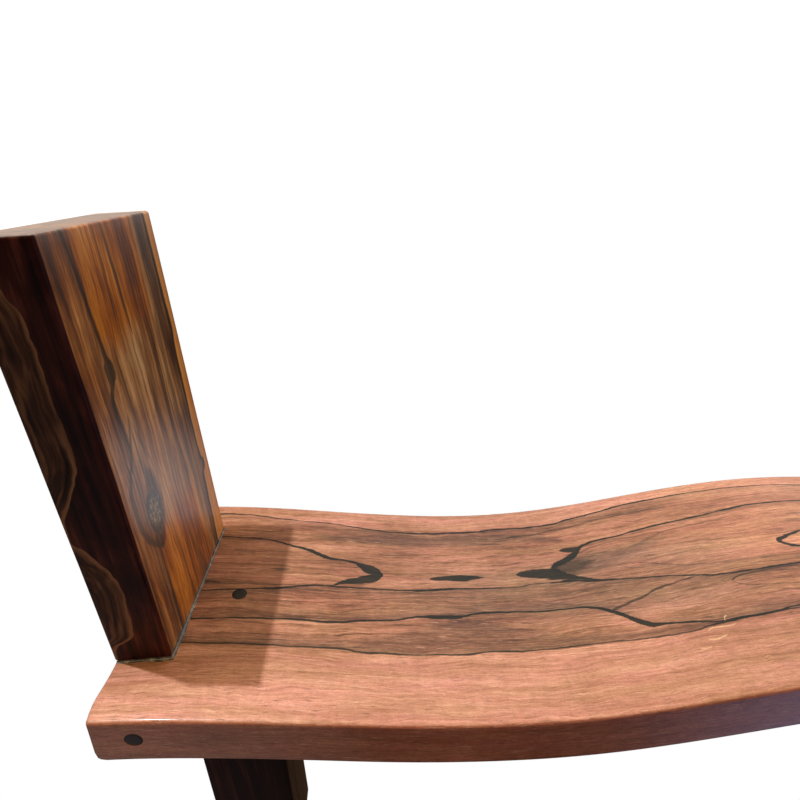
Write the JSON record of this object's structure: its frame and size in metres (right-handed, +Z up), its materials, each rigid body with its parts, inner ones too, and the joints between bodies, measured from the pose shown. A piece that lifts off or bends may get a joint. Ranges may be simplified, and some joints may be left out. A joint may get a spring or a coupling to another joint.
{
  "type": "kneeling bench",
  "caption": "Solid rosewood kneeling bench: a thick waved plank on short legs, with an upright hand-rest post on each end.",
  "frame": {"origin": "on the floor, under the middle of the bench", "axes": "+X along the plank to the right, +Y to the rear, +Z up"},
  "size_m": [1.2612, 0.25, 0.5675],
  "materials": {
    "plank": "gloss lacquer, open figure with dark vein lines",
    "post": "gloss lacquer, dark striped rosewood with a sapwood edge",
    "leg": "satin lacquer, very dark rosewood",
    "plug": "black end-grain plug, satin",
    "dowel": "plain beech dowel",
    "screw": "zinc plated"
  },
  "bodies": {
    "root": {"kneeling_plank": "plank", "left_post": "post", "left_cross_rail": "leg", "left_rail_screw": "screw", "left_top_plug": "plug", "front_left_leg": "leg", "front_left_outer_dowel": "dowel", "front_left_inner_dowel": "dowel", "front_left_post_screw": "screw", "front_left_edge_plug": "plug", "rear_left_leg": "leg", "rear_left_outer_dowel": "dowel", "rear_left_inner_dowel": "dowel", "rear_left_post_screw": "screw", "rear_left_edge_plug": "plug", "right_post": "post", "right_cross_rail": "leg", "right_rail_screw": "screw", "right_top_plug": "plug", "front_right_leg": "leg", "front_right_outer_dowel": "dowel", "front_right_inner_dowel": "dowel", "front_right_post_screw": "screw", "front_right_edge_plug": "plug", "rear_right_leg": "leg", "rear_right_outer_dowel": "dowel", "rear_right_inner_dowel": "dowel", "rear_right_post_screw": "screw", "rear_right_edge_plug": "plug"}
  },
  "joints": []
}
